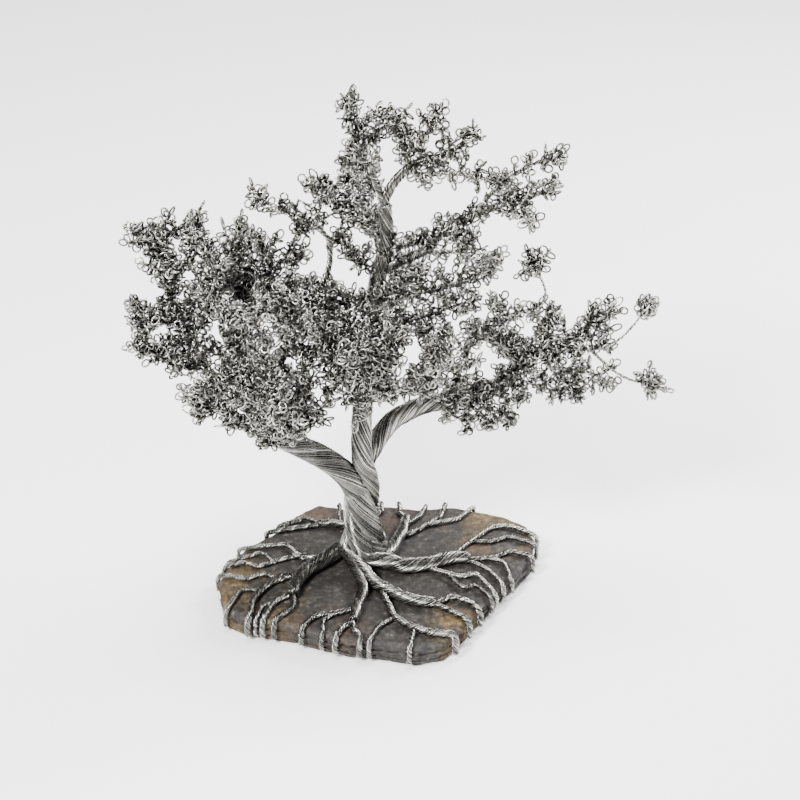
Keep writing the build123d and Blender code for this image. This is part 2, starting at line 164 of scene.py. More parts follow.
# Each root: its bearing where it leaves the trunk, wires there and at its end, and (x, y) on the stone
ROOTS = {
    "root_right": (-62, 98, 44, [(13, -10), (21, -12), (33, -9), (45, -4), (55, -3)]),
    "root_front_right": (200, 82, 32, [(-1, -16), (4, -25), (10, -31), (18, -37), (27, -41), (36, -42)]),
    "root_front": (222, 64, 28, [(-4, -17), (-1, -27), (-1, -35), (-3, -45), (-5, -57)]),
    "root_left": (120, 98, 44, [(-13, 3), (-21, -6), (-30, -15), (-35, -26), (-36, -36)]),
    "root_left_upper": (140, 24, 16, [(-14, 1), (-24, -3), (-31, -1), (-38, 0)]),
    "root_back_left": (60, 45, 22, [(-2, 13), (-9, 24), (-18, 30), (-26, 30)]),
    "root_back": (20, 40, 22, [(9, 12), (7, 22), (4, 30), (3, 38)]),
    "root_back_right": (-20, 70, 30, [(13, 2), (16, 11), (19, 20), (22, 36)]),
}
# Where a root leaves the trunk: (rise above the stone, distance from the trunk's axis)
ROOT_CLIMB = [(30, 3.0), (23, 4.6), (15, 6.4), (8, 8.2), (3, 9.8)]

# Each rootlet: its wires and (x, y) on the stone up to the place where it turns over the edge
ROOTLETS = {
    "rootlets_right": [
        (10, [(44, -4), (50, 6), (57, 15), (68, 27), (77, 28), (84, 24)]),
        (8, [(57, 14), (67, 14), (76, 18), (83, 15)]),
        (10, [(54, -3), (67, -1), (76, 4), (83, 2)]),
        (8, [(65, -2), (72, -5), (74, -12)]),
        (8, [(54, -4), (63, -11), (68, -19)]),
        (10, [(31, -10), (42, -15), (50, -18), (57, -16), (62, -24)]),
        (8, [(43, -16), (50, -27), (57, -26), (61, -31)]),
    ],
    "rootlets_front_right": [
        (14, [(35, -42), (44, -37), (52, -40), (56, -44)]),
        (14, [(36, -43), (43, -48), (49, -53)]),
        (20, [(8, -30), (12, -42), (16, -54), (25, -62), (33, -66), (40, -67)]),
        (9, [(15, -53), (8, -60), (5, -67)]),
        (9, [(25, -62), (24, -70)]),
    ],
    "rootlets_front": [
        (13, [(-5, -56), (-10, -61), (-12, -65)]),
        (13, [(-5, -56), (-5, -61), (-3, -66)]),
        (12, [(-4, -45), (-15, -50), (-24, -52), (-29, -59)]),
        (8, [(-16, -51), (-20, -56), (-20, -62)]),
    ],
    "rootlets_left": [
        (18, [(-31, -16), (-43, -20), (-51, -28), (-56, -38), (-57, -48)]),
        (12, [(-36, -35), (-36, -45), (-41, -51), (-44, -55)]),
        (12, [(-36, -33), (-45, -40), (-49, -51)]),
        (8, [(-45, -40), (-51.2, -43), (-52.4, -48)]),
        (9, [(-44, -21), (-53, -16), (-61, -20), (-69, -18)]),
        (9, [(-53, -30), (-63, -30), (-66, -38)]),
        (9, [(-37, 0), (-47, -4), (-56, -9), (-63, -6), (-68, -7)]),
        (7, [(-48, -5), (-55, 3), (-62, 0)]),
        (8, [(-34, -1), (-42, 10), (-51, 10), (-57, 9)]),
    ],
    "rootlets_back": [
        (11, [(-25, 30), (-35, 27), (-43, 25)]),
        (11, [(-25, 30), (-33, 36), (-37, 34)]),
        (9, [(-11, 25), (-15, 37), (-15, 45)]),
        (11, [(3, 37), (8, 42), (8, 46)]),
        (11, [(3, 37), (-3, 42), (-5, 45)]),
        (12, [(22, 35), (18, 41), (18, 45)]),
        (11, [(18, 17), (26, 23), (33, 30), (40, 37), (42, 45)]),
        (8, [(33, 30), (41, 33), (50, 36), (56, 44)]),
        (9, [(22, 30), (29, 38), (31, 44)]),
    ],
}
HOOK_LOW = 3.2  # height above the table where a hooked rootlet ends

# Corners of the slab's outline, anticlockwise from the left end
SLAB_OUTLINE = [
    (-76, -21), (-70, -45), (-59, -52), (-38, -57), (-24, -63), (-8, -69), (11, -72), (27, -76),
    (40, -72), (46, -66), (54, -51), (62, -39), (69, -26), (79, -13), (88, 2), (91, 19), (87, 33),
    (76, 41), (64, 46), (48, 51), (28, 48), (13, 52), (-11, 49), (-27, 53), (-39, 43), (-47, 28),
    (-55, 20), (-64, 12), (-71, -3),
]
OUTLINE_STEP = 1.1
# The broken layers of its side: (height, how far each lies inside the outline)
SLAB_LAYERS = [
    (0.0, 1.1), (0.6, 0.5), (2.2, 0.25), (2.35, 0.8), (4.2, 0.5), (4.4, 0.1), (6.0, 0.35), (6.2, 0.9),
    (8.2, 0.45), (8.4, 0.15), (9.6, 0.5),
]
CHIP_DEPTH = 1.7  # of the deepest chips in its side
RIM_INSETS = (0.3, 1.0, 1.8, 2.8)  # rings of the top where it is worn down towards the edge
TOP_INSET = 4.0  # of the first ring inside the rim
TOP_RINGS = 52
RIM_DROP = 2.0
TOP_LEVEL = SLAB_TOP - 0.45  # of the top's middle height
TOP_LIMIT = SLAB_TOP - 0.05
TERRACE_RISE = 0.16

# Leaf loops
LEAF_WIRE = 0.47  # radius
LOOP_RADIUS = 1.6  # of a loop's middle line
LOOP_POINTS = 12
LOOP_SIDES = 5
LOOP_ROOM = 2.0  # least distance between the middles of two loops
LEAF_SPACING = 0.8  # between loops along a twig
TWIG_SPACING = 2.9  # between leafy twigs along a branch
FORK_LENGTH = 9.0  # a longer twig has side twigs
STEM_PITCH = 4.4  # along a twig, for one turn of its two wires
STEM_STEP = 0.6
TIP_LOOPS = 5
SIDE_TWIGS_AT = (0.35, 0.6, 0.8)  # shares of a long twig's length
TIP_TWIGS = 4
TIP_REACH = 5.0
BALL_TWIGS = 14
BALL_REACH = 8.0

# Leaf nodes of the frame, and for each of their carriers where its leaves begin and how far they reach
LEAVES = {
    "leaves_left_outer": {
        "branch_left_outer": (0.3, 11), "branch_left_low": (0.3, 9), "twigs_left": (0.2, 7),
    },
    "leaves_left_inner": {
        "branch_left_rise": (0.2, 15), "branch_left_front": (0.3, 19), "branch_left_back": (0.3, 18),
        "limb_left": (0.82, 8),
    },
    "leaves_arch": {
        "branch_left_arch": (0.5, 10), "branch_inner_curl": (0.75, 7), "branch_left_middle": (0.25, 18),
    },
    "leaves_top": {"branch_top_left": (0.35, 7), "branch_top_right": (0.35, 7), "twigs_top": (0.35, 6)},
    "leaves_upper_right": {
        "branch_upper_right": (0.2, 6), "branch_right_high": (0.3, 8), "branch_right_crest": (0.3, 6),
    },
    "leaves_middle_right": {
        "branch_right_drop": (0.35, 7), "branch_right_middle": (0.3, 9), "branch_right_front": (0.35, 9),
        "branch_front": (0.25, 20),
    },
    "leaves_back": {
        "branch_back": (0.3, 12), "branch_back_left": (0.3, 12), "branch_back_high": (0.3, 11),
        "branch_right_back": (0.3, 11),
    },
    "leaves_right_inner": {
        "branch_right_inner": (0.3, 6), "branch_right_low": (0.3, 7), "limb_right": (0.75, 9),
    },
    "leaves_right_outer": {"branch_right_outer": (0.15, 8), "twigs_right": (0.3, 6)},
}

# Fine twigs between the branches, each starting in the branch nearest to its first point
FINE_TWIGS = {
    "leaves_left_outer": [
        [(-89, 0, 145), (-81, 2, 163), (-77, 4, 179), (-75, 5, 191)],
        [(-93, 4, 192), (-95, 0, 202), (-97, -3, 205)],
        [(-93, 4, 194), (-85, 6, 201), (-79, 8, 202)],
        [(-92, 2, 147), (-102, -4, 154), (-108, -8, 164)],
        [(-67, -14, 118), (-73, -17, 121), (-77, -19, 117)],
        [(-85, -2, 138), (-94, -8, 144), (-103, -12, 143)],
        [(-92, 4, 170), (-84, 2, 184), (-80, 0, 196)],
        [(-77, -6, 131), (-86, -10, 138), (-92, -12, 142)],
        [(-67, -17, 114), (-75, -20, 114), (-79, -22, 112)],
    ],
    "leaves_left_inner": [
        [(-69, 0, 140), (-70, -5, 167), (-70, -8, 187)],
        [(-51, 2, 144), (-47, 3, 168), (-39, 4, 183), (-30, 5, 184)],
        [(-46, -14, 102), (-46, -24, 131), (-50, -28, 151)],
        [(-31, -10, 100), (-27, -22, 128), (-24, -26, 150)],
        [(-58, -16, 109), (-68, -24, 122), (-75, -28, 132)],
        [(-23, -8, 97), (-15, -18, 123), (-12, -22, 143)],
        [(-63, -8, 122), (-60, -16, 148), (-62, -20, 166)],
        [(-38, -12, 115), (-34, -16, 151), (-36, -18, 173)],
        [(-66, 4, 176), (-62, 0, 194), (-57, -4, 203)],
        [(-48, 2, 169), (-43, 0, 185), (-47, -4, 198)],
        [(-64, 2, 147), (-57, 6, 161), (-54, 8, 177)],
    ],
    "leaves_arch": [
        [(-5, 2, 147), (-15, -4, 161), (-27, -8, 168), (-34, -10, 177)],
        [(-29, 2, 205), (-38, 3, 211), (-49, 4, 216)],
        [(-22, 4, 201), (-19, 8, 212), (-14, 10, 219)],
        [(11, 7, 169), (1, 8, 180), (-6, 9, 187), (-10, 10, 194)],
        [(12, 6, 192), (4, 8, 200), (-5, 9, 205), (-10, 10, 208)],
    ],
    "leaves_top": [
        [(30, 3, 232), (28, 3, 243), (32, 2, 252), (36, 2, 258)],
        [(5, 3, 241), (11, 0, 253), (17, -2, 258)],
        [(12, 5, 215), (3, 8, 225), (-1, 8, 233)],
    ],
    "leaves_upper_right": [
        [(37, -4, 206), (43, -10, 201), (51, -14, 202)],
        [(65, -4, 224), (74, -8, 218), (79, -10, 210)],
    ],
    "leaves_middle_right": [
        [(0, 3, 107), (-9, -24, 138), (-15, -32, 158)],
        [(1, 4, 109), (12, -22, 143), (17, -30, 163)],
        [(1, 4, 105), (22, -20, 127), (35, -28, 145)],
        [(6, 6, 122), (5, -16, 156), (1, -24, 176)],
        [(11, 7, 141), (26, -4, 156), (39, -10, 164), (52, -12, 170)],
        [(11, 6, 182), (19, -2, 193), (28, -6, 199)],
        [(31, 14, 100), (33, -8, 130), (34, -16, 149)],
        [(17, 2, 147), (30, -10, 151), (41, -14, 151)],
        [(9, 6, 161), (17, 0, 173), (26, -4, 179)],
    ],
    "leaves_right_inner": [
        [(46, 13, 102), (53, -4, 108), (62, -10, 103)],
        [(59, 12, 108), (68, -2, 112), (78, -8, 112)],
        [(69, 11, 114), (74, 4, 128), (77, 0, 140)],
        [(79, 9, 119), (69, 2, 142), (65, -2, 162)],
        [(39, 15, 100), (45, 0, 100), (53, -6, 98)],
        [(76, 10, 118), (88, 2, 115), (98, -2, 114)],
        [(91, 6, 126), (98, 2, 119), (106, 0, 113)],
    ],
    "leaves_right_outer": [
        [(92, 5, 127), (104, 6, 140), (113, 6, 151)],
        [(96, 4, 128), (112, 0, 124), (123, -4, 120)],
        [(88, 5, 127), (91, 4, 146), (93, 4, 156)],
        [(117, 0, 137), (116, 4, 147), (121, 6, 156)],
    ],
    "leaves_back": [
        [(9, 7, 161), (18, 24, 158), (28, 34, 164)],
        [(5, 6, 139), (-9, 24, 135), (-23, 34, 137)],
    ],
}
FINE_TWIG_WIRES = 6
FINE_TWIG_REACH = 7.5
FINE_TWIG_FIRST = 0.15
BARE_TWIGS = {("twigs_right", 0), ("twigs_right", 1), ("twigs_right", 3)}  # leaves only in a ball at the tip

GOLDEN = (math.sqrt(5) - 1) / 2
GOLDEN_TURN = math.pi * (3 - math.sqrt(5))

routes = {}  # name -> list of bundles that have been laid, each a dict of arrays


# Curves -----------------------------------------------------------------------------------------------

def bundle_radius(wires):
    return WIRE_RADIUS * np.sqrt(wires / PACKING)


def unit(rows):
    return rows / np.maximum(np.linalg.norm(rows, axis=-1, keepdims=True), 1e-9)


def smooth_route(points, step):
    """Evenly spaced points on a Catmull-Rom curve through the route."""
    p = np.array(points, float)
    p = np.vstack([2 * p[0] - p[1], p, 2 * p[-1] - p[-2]])
    fine = []
    for a, b, c, d in zip(p, p[1:], p[2:], p[3:]):
        t = np.linspace(0, 1, 24, endpoint=False)[:, None]
        bend = (2 * a - 5 * b + 4 * c - d) * t**2 + (3 * b - a - 3 * c + d) * t**3
        fine.append(0.5 * (2 * b + (c - a) * t + bend))
    fine = np.vstack(fine + [p[-2][None]])
    run = np.concatenate([[0], np.cumsum(np.linalg.norm(np.diff(fine, axis=0), axis=1))])
    count = max(3, int(round(run[-1] / step)) + 1)
    even = np.linspace(0, run[-1], count)
    return np.stack([np.interp(even, run, fine[:, i]) for i in range(3)], axis=1)


def frames_along(centres):
    """Directions along the curve and two cross directions that don't turn about it."""
    along = unit(np.gradient(centres, axis=0))
    first = np.cross(along[0], (0.0, 0.0, 1.0))
    if np.linalg.norm(first) < 0.1:
        first = np.array((1.0, 0.0, 0.0))
    across = np.empty_like(along)
    across[0] = first
    for i in range(len(along)):
        before = across[max(i - 1, 0)]
        level = before - along[i] * before.dot(along[i])
        across[i] = level / np.linalg.norm(level)
    return along, across, np.cross(along, across)


# Meshes -----------------------------------------------------------------------------------------------

class Mesh:
    """Collects tubes and makes one Blender object of them."""

    def __init__(self):
        self.points = []
        self.light_catches = []
        self.quads = []
        self.caps = []
        self.count = 0

    def add_tube(self, centres, away, radius, sides, light_catch):
        """A tube along the centres; away gives at each one a direction that isn't along the tube.

        Its last argument, from 0 to 1, is painted light: the one wire is painted from shaded at 0 to glinting
        at 1.
        """
        along = unit(np.gradient(centres, axis=0))
        second = unit(np.cross(along, away))
        first = np.cross(second, along)
        turn = np.linspace(0, 2 * np.pi, sides, endpoint=False)
        spread = np.cos(turn)[None, :, None] * first[:, None] + np.sin(turn)[None, :, None] * second[:, None]
        width = np.broadcast_to(np.asarray(radius, float), (len(centres),))[:, None, None]
        self.points.append((centres[:, None] + width * spread).reshape(-1, 3))
        self.light_catches.append(np.full(len(centres) * sides, light_catch))
        ring = np.arange(sides)
        rows = np.arange(len(centres) - 1)[:, None] * sides + self.count
        a = rows + ring
        b = rows + np.roll(ring, -1)
        self.quads.append(np.stack([a, b, b + sides, a + sides], axis=-1).reshape(-1, 4))
        last = self.count + (len(centres) - 1) * sides
        self.caps.append((self.count + ring[::-1]).tolist())
        self.caps.append((last + ring).tolist())
        self.count += len(centres) * sides

    def build(self, name, material):
        mesh = bpy.data.meshes.new(name)
        faces = np.vstack(self.quads).tolist() + self.caps
        mesh.from_pydata((np.vstack(self.points) * MM).tolist(), [], faces)
        mesh.polygons.foreach_set("use_smooth", np.ones(len(faces), bool))
        mesh.update()
        mesh.attributes.new("light_catch", "FLOAT", "POINT").data.foreach_set("value", np.concatenate(self.light_catches))
        mesh.materials.append(material)
        piece = bpy.data.objects.new(name, mesh)
        bpy.context.scene.collection.objects.link(piece)
        return piece


def place(piece, slot, *nodes):
    """The piece rides on the tree's one body, and the CAD nodes that it replaces are hidden."""
    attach(piece, BODY)
    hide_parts(*nodes)


# Wire bundles -----------------------------------------------------------------------------------------

def lay_bundle(mesh, name, points, start_wires, end_wires, lay, rng, taper=TAPER):
    """Twists the outer wires of a bundle round its core and keeps its line for what grows from it.

    Where the bundle gets thinner, wires sink in one by one and their neighbours close the gap.
    """
    usual = float(bundle_radius((start_wires + end_wires) / 2)) - WIRE_RADIUS
    step = min(max(TURN_STEP * usual / math.tan(lay), STEP_RANGE[0]), STEP_RANGE[1])
    centres = smooth_route(points, step)
    along, across, beside = frames_along(centres)
    share = np.linspace(0, 1, len(centres))
    radius = bundle_radius(start_wires + (end_wires - start_wires) * share**taper)
    shell = radius - WIRE_RADIUS
    rate = np.tan(lay) / shell
    turned = -np.concatenate([[0], np.cumsum((rate[1:] + rate[:-1]) / 2 * step)])
    room = np.maximum(2 * np.pi * shell * math.cos(lay) / PITCH, 2.0)
    count = math.ceil(room.max())
    order = np.arange(count) * GOLDEN % 1
    weight = np.clip((room - order[:, None] * count) / FADE, 0, 1)
    widths = np.array([rng.choice(PLACE_WIDTHS) for _ in range(count)])[:, None] * weight
    edge = np.cumsum(widths, axis=0)
    turn = 2 * np.pi * (edge - widths / 2) / edge[-1] + turned
    for wire_turn, wire_weight in zip(turn, weight):
        at = np.flatnonzero(wire_weight > 0.02)
        if len(at) < 3:
            continue
        sway = WAVER * np.sin(at * step / rng.uniform(9, 16) * 2 * np.pi + rng.uniform(0, 2 * np.pi))
        out = shell[at] - (1 - wire_weight[at]) * 2 * WIRE_RADIUS + sway - rng.choice(DEPTHS)
        bearing = wire_turn[at] + sway / np.maximum(shell[at], 0.5)
        away = np.cos(bearing)[:, None] * across[at] + np.sin(bearing)[:, None] * beside[at]
        mesh.add_tube(centres[at] + out[:, None] * away, away, WIRE_RADIUS, SIDES, rng.random())
    if start_wires >= CORE_FROM:
        # The core is painted with the darkest brightness, 0: painted shade between the outer wires.
        mesh.add_tube(centres, across, np.maximum(shell - CORE_DEPTH, 0.3), CORE_SIDES, 0)
    routes.setdefault(name, []).append({"centres": centres, "along": along, "radius": radius, "step": step})


def lead_in(points):
    """Starts a branch a little earlier, inside the bundle it leaves and in line with it."""
    start = np.array(points[0], float)
    best = None
    for bundles in routes.values():
        for line in bundles:
            gaps = np.linalg.norm(line["centres"] - start, axis=1)
            i = int(gaps.argmin())
            if best is None or gaps[i] < best[0]:
                best = (gaps[i], line, i)
    _, line, i = best
    back = start - line["along"][i] * 1.6 * line["radius"][i]
    return [tuple(back)] + list(points)


def strand_point(bearing, z):
    angle = math.radians(bearing + TRUNK_TWIST * (z - STRAND_MIDDLE))
    lean = TRUNK_LEAN * (z - SLAB_TOP)
    return (STRAND_OFFSET * math.cos(angle) + lean, STRAND_OFFSET * math.sin(angle), z)


def make_limbs(wire):
    """The three strands of the trunk, each running on as a limb."""
    for side, (bearing, leaves_at, start_wires, end_wires, points) in LIMBS.items():
        rng = random.Random(side)
        mesh = Mesh()
        climb = [strand_point(bearing, z) for z in np.linspace(SLAB_TOP + 3, leaves_at, 9)]
        lay_bundle(mesh, f"limb_{side}", climb + points, start_wires, end_wires, TRUNK_LAY, rng, LIMB_TAPER)
        piece = mesh.build(f"strand_and_limb_{side}", wire)
        place(piece, "wire", f"trunk_strand_{side}", f"limb_{side}")


def make_branches(wire):
    for name, bundles in BRANCHES.items():
        rng = random.Random(name)
        mesh = Mesh()
        for start_wires, end_wires, points in bundles:
            lay_bundle(mesh, name, lead_in(points), start_wires, end_wires, THIN_LAY, rng)
        place(mesh.build(f"{name}_wires", wire), "wire", name)


def make_roots(wire):
    """Roots peel off the trunk along its twist, then lie on the stone."""
    for name, (bearing, start_wires, end_wires, places) in ROOTS.items():
        rng = random.Random(name)
        mesh = Mesh()
        thick = bundle_radius(start_wires)
        points = []
        for rise, distance in ROOT_CLIMB:
            angle = math.radians(bearing + TRUNK_TWIST * rise)
            points.append((distance * math.cos(angle), distance * math.sin(angle), SLAB_TOP + thick + rise))
        for i, (x, y) in enumerate(places):
            wires = start_wires + (end_wires - start_wires) * (i + 2) / (len(places) + 1)
            points.append((x, y, SLAB_TOP + bundle_radius(wires) + (0.8 if i == 0 else 0.05)))
        lay_bundle(mesh, name, points, start_wires, end_wires, ROOT_LAY, rng)
        place(mesh.build(f"{name}_wires", wire), "wire", name)


def edge_crossing(inner, outer):
    """Where the way from one point on the slab through the next leaves the outline, and the normal."""
    way = Vector((outer[0] - inner[0], outer[1] - inner[1]))
    best = None
    for a, b in zip(SLAB_OUTLINE, SLAB_OUTLINE[1:] + SLAB_OUTLINE[:1]):
        side = Vector((b[0] - a[0], b[1] - a[1]))
        gap = Vector((a[0] - inner[0], a[1] - inner[1]))
        turn = way.cross(side)
        if abs(turn) < 1e-9:
            continue
        along_way = gap.cross(side) / turn
        along_side = gap.cross(way) / turn
        if along_way > 0 and 0 <= along_side <= 1 and (best is None or along_way < best[0]):
            best = (along_way, Vector((side.y, -side.x)).normalized())
    share, normal = best
    return Vector(inner) + way * share, normal


def rootlet_points(wires, places):
    """Along the stone, over its edge and down its side."""
    thick = bundle_radius(wires)
    lying = SLAB_TOP + thick + 0.05
    points = [(x, y, lying) for x, y in places]
    edge, outward = edge_crossing(places[-2], places[-1])
    turn = edge - outward * 0.4
    beside = edge + outward * (thick + 0.05)
    points.append((turn.x, turn.y, lying - 0.4))
    points.append((beside.x, beside.y, SLAB_TOP - 2.5))
    points.append((beside.x, beside.y, HOOK_LOW))
    return points


def make_rootlets(wire):
    for name, bundles in ROOTLETS.items():
        rng = random.Random(name)
        mesh = Mesh()
        for wires, places in bundles:
            points = lead_in(rootlet_points(wires, places))
            lay_bundle(mesh, name, points, wires, wires, THIN_LAY, rng)
        place(mesh.build(f"{name}_wires", wire), "wire", name)


# Leaves -----------------------------------------------------------------------------------------------

def random_direction(rng):
    z = rng.uniform(-1, 1)
    turn = rng.uniform(0, 2 * math.pi)
    flat = math.sqrt(1 - z * z)
    return np.array((flat * math.cos(turn), flat * math.sin(turn), z))


class Room:
    """Remembers where loops are, so that no two fill the same place."""

    def __init__(self):
        self.cells = {}

    def take(self, place):
        x, y, z = (int(c // LOOP_ROOM) for c in place)
        for i in (x - 1, x, x + 1):
            for j in (y - 1, y, y + 1):
                for k in (z - 1, z, z + 1):
                    for other in self.cells.get((i, j, k), ()):
                        if math.dist(place, other) < LOOP_ROOM:
                            return False
        self.cells.setdefault((x, y, z), []).append(tuple(place))
        return True


def curl(mesh, root, outward, rng, room):
    """One leaf: a wire bent round into a loop, its end lapping over its start."""
    size = LOOP_RADIUS * rng.uniform(0.8, 1.3)
    if not room.take(root + outward * size):
        return
    stretch = rng.choice((1.0, 1.0, 1.15, 1.5))
    side = unit(np.cross(outward, random_direction(rng)))
    normal = np.cross(outward, side)
    turns = rng.uniform(1.0, 1.25)
    t = np.linspace(0, 2 * np.pi * turns, LOOP_POINTS)[:, None]
    lift = (t / (2 * np.pi) - turns / 2) * WIRE_RADIUS * 1.7
    centres = root + outward * size * stretch * (1 - np.cos(t)) + side * size * np.sin(t) + normal * lift
    mesh.add_tube(centres, np.broadcast_to(normal, centres.shape), LEAF_WIRE, LOOP_SIDES, rng.random())


def twisted_stem(mesh, start, outward, length, bend, rng):
    """Two wires wound round each other; returns the places along the stem and its direction there."""
    count = max(4, int(length / STEM_STEP) + 1)
    s = np.linspace(0, 1, count)[:, None]
    centres = start + outward * length * s + bend * (length * 0.35) * s**2
    along = unit(np.gradient(centres, axis=0))
    across = unit(np.cross(along, random_direction(rng)))
    beside = np.cross(along, across)
    turn = -s * length / STEM_PITCH * 2 * np.pi + rng.uniform(0, 6)
    for half in (0, np.pi):
        away = np.cos(turn + half) * across + np.sin(turn + half) * beside
        mesh.add_tube(centres + away * LEAF_WIRE * 0.95, away, LEAF_WIRE, LOOP_SIDES, rng.random())
    return centres, along


def leafy_twig(mesh, start, outward, length, rng, room):
    """A twisted twig with loops on all sides, a rosette at its tip and, if it is long, side twigs."""
    bend = unit(random_direction(rng) + np.array((0, 0, 0.6)))
    centres, along = twisted_stem(mesh, start, outward, length, bend, rng)
    last = len(centres) - 1
    for run in np.arange(1.2, length, LEAF_SPACING):
        at = min(int(run / length * last), last)
        way = unit(unit(np.cross(along[at], random_direction(rng))) + along[at] * rng.uniform(-0.1, 0.7))
        curl(mesh, centres[at] + way * WIRE_RADIUS, way, rng, room)
    for i in range(TIP_LOOPS):
        way = unit(along[last] * (1.0 if i == 0 else rng.uniform(0, 0.7)) + random_direction(rng) * (i > 0))
        curl(mesh, centres[last], way, rng, room)
    if length > FORK_LENGTH:
        for share in SIDE_TWIGS_AT:
            at = int(share * last)
            way = unit(unit(np.cross(along[at], random_direction(rng))) + along[at] * 0.7)
            leafy_twig(mesh, centres[at], way, min(length * 0.5, FORK_LENGTH - 0.5), rng, room)


def leaf_branch(mesh, line, first, reach, rng, room):
    """Leafy twigs all round a branch from the place where its leaves begin to its tip."""
    centres, along, radius = line["centres"], line["along"], line["radius"]
    length = line["step"] * (len(centres) - 1)
    places = max(3, int(length * (1 - first) / TWIG_SPACING))
    turn = rng.uniform(0, 6)
    for i in range(places):
        at = int((first + (1 - first) * (i + rng.random()) / places) * (len(centres) - 1))
        turn += GOLDEN_TURN
        level = unit(np.cross(along[at], (0.0, 0.0, 1.0)))
        round_it = math.cos(turn) * level + math.sin(turn) * np.cross(along[at], level)
        outward = unit(round_it + along[at] * rng.uniform(0.2, 0.9) + np.array((0, 0, 0.2)))
        start = centres[at] + outward * radius[at] * 0.6
        leafy_twig(mesh, start, outward, reach * rng.uniform(0.4, 1), rng, room)
    leaf_ball(mesh, line, TIP_TWIGS, TIP_REACH, rng, room)


def leaf_ball(mesh, line, twigs, longest, rng, room):
    """A round head of loops on the tip of a branch or twig."""
    tip, way = line["centres"][-1], line["along"][-1]
    for _ in range(twigs):
        outward = unit(random_direction(rng) + way * 0.8)
        leafy_twig(mesh, tip - way, outward, rng.uniform(0.45, 1) * longest, rng, room)


def rooted(points):
    """Starts a fine twig in the middle of the branch that its first point is nearest to."""
    lines = [line["centres"] for bundles in routes.values() for line in bundles]
    nearest = [line[np.linalg.norm(line - points[0], axis=1).argmin()] for line in lines]
    best = min(nearest, key=lambda centre: math.dist(centre, points[0]))
    return [tuple(best)] + points[1:]


def make_leaves(wire):
    """Each branch's leaves are one piece, and so are the fine twigs of each leaf node."""
    room = Room()
    for node, carriers in LEAVES.items():
        for carrier, (first, reach) in carriers.items():
            rng = random.Random(carrier)
            mesh = Mesh()
            for i, line in enumerate(routes[carrier]):
                if (carrier, i) in BARE_TWIGS:
                    leaf_ball(mesh, line, BALL_TWIGS, BALL_REACH, rng, room)
                else:
                    leaf_branch(mesh, line, first, reach, rng, room)
            place(mesh.build(f"leaves_on_{carrier}", wire), "wire", node)
    for node, twigs in FINE_TWIGS.items():
        rng = random.Random(node)
        mesh = Mesh()
        for points in [rooted(points) for points in twigs]:
            lay_bundle(mesh, node, points, FINE_TWIG_WIRES, FINE_TWIG_WIRES - 2, THIN_LAY, rng)
            leaf_branch(mesh, routes[node][-1], FINE_TWIG_FIRST, FINE_TWIG_REACH, rng, room)
        place(mesh.build(f"{node}_fine_twigs", wire), "wire", node)


# Slate ------------------------------------------------------------------------------------------------

def dense_outline(step):
    corners = np.array(SLAB_OUTLINE + SLAB_OUTLINE[:1], float)
    run = np.concatenate([[0], np.cumsum(np.linalg.norm(np.diff(corners, axis=0), axis=1))])
    even = np.linspace(0, run[-1], int(run[-1] / step), endpoint=False)
    return np.stack([np.interp(even, run, corners[:, i]) for i in range(2)], axis=1)


def make_slate(stone):
    """A cleft slab: terraced top, edges broken in thin layers."""
    outline = dense_outline(OUTLINE_STEP)
    middle = outline.mean(axis=0)
    count = len(outline)
    inward = unit(middle - outline)
    reach = np.linalg.norm(outline - middle, axis=1)
    points = []
    for z, inset in SLAB_LAYERS:
        for (x, y), way in zip(outline, inward):
            chip = CHIP_DEPTH * abs(noise.fractal(Vector((x * 0.11, y * 0.11, z * 0.6)), 0.8, 2.1, 4))
            points.append((*(np.array((x, y)) + way * (inset + chip)), z))
    insets = np.concatenate([RIM_INSETS, np.linspace(TOP_INSET, 0.985 * reach.min(), TOP_RINGS)])
    for inset in insets:
        for x, y in outline + (middle - outline) * (inset / reach[:, None]):
            broad = noise.noise(Vector((x * 0.035, y * 0.05, 3.0)))
            ragged = 0.3 * noise.noise(Vector((x * 0.2, y * 0.2, 9.0)))
            terrace = math.floor((broad + ragged) * 5) * TERRACE_RISE
            fine = 0.16 * noise.fractal(Vector((x * 0.35, y * 0.35, 1.0)), 0.9, 2.2, 4)
            edge = max(0.0, 1 - inset / RIM_INSETS[-1])
            drop = RIM_DROP * edge**1.5 * (0.7 + 0.6 * abs(noise.noise(Vector((x * 0.15, y * 0.15, 5.0)))))
            points.append((x, y, min(TOP_LIMIT, TOP_LEVEL + terrace + fine - drop)))
    faces = []
    levels = len(SLAB_LAYERS) + len(insets)
    for level in range(levels - 1):
        for i in range(count):
            j = (i + 1) % count
            a, b = level * count, (level + 1) * count
            faces.append((a + i, a + j, b + j, b + i))
    faces.append(list(range(count))[::-1])
    faces.append(list(range((levels - 1) * count, levels * count)))
    mesh = bpy.data.meshes.new("slate_slab")
    mesh.from_pydata((np.array(points) * MM).tolist(), [], faces)
    mesh.polygons.foreach_set("use_smooth", np.zeros(len(faces), bool))
    mesh.materials.append(stone)
    piece = bpy.data.objects.new("slate_slab", mesh)
    bpy.context.scene.collection.objects.link(piece)
    place(piece, "slate", "slate_base")


# Materials --------------------------------------------------------------------------------------------

def new_material(name):
    material = bpy.data.materials.new(name)
    material.use_nodes = True
    nodes = material.node_tree.nodes
    return material, nodes, material.node_tree.links, nodes["Principled BSDF"]


def noise_node(nodes, links, scale, detail, roughness, place_of):
    texture = nodes.new("ShaderNodeTexNoise")
    texture.inputs["Scale"].default_value = scale
    texture.inputs["Detail"].default_value = detail
    texture.inputs["Roughness"].default_value = roughness
    links.new(place_of, texture.inputs["Vector"])
    return texture.outputs["Fac"]


def ramp(nodes, links, value, stops):
    """A colour ramp of (position, colour) stops."""
    node = nodes.new("ShaderNodeValToRGB")
    while len(node.color_ramp.elements) < len(stops):
        node.color_ramp.elements.new(0.5)
    for element, (position, colour) in zip(node.color_ramp.elements, stops):
        element.position = position
        element.color = (*colour, 1)
    links.new(value, node.inputs["Fac"])
    return node.outputs["Color"]


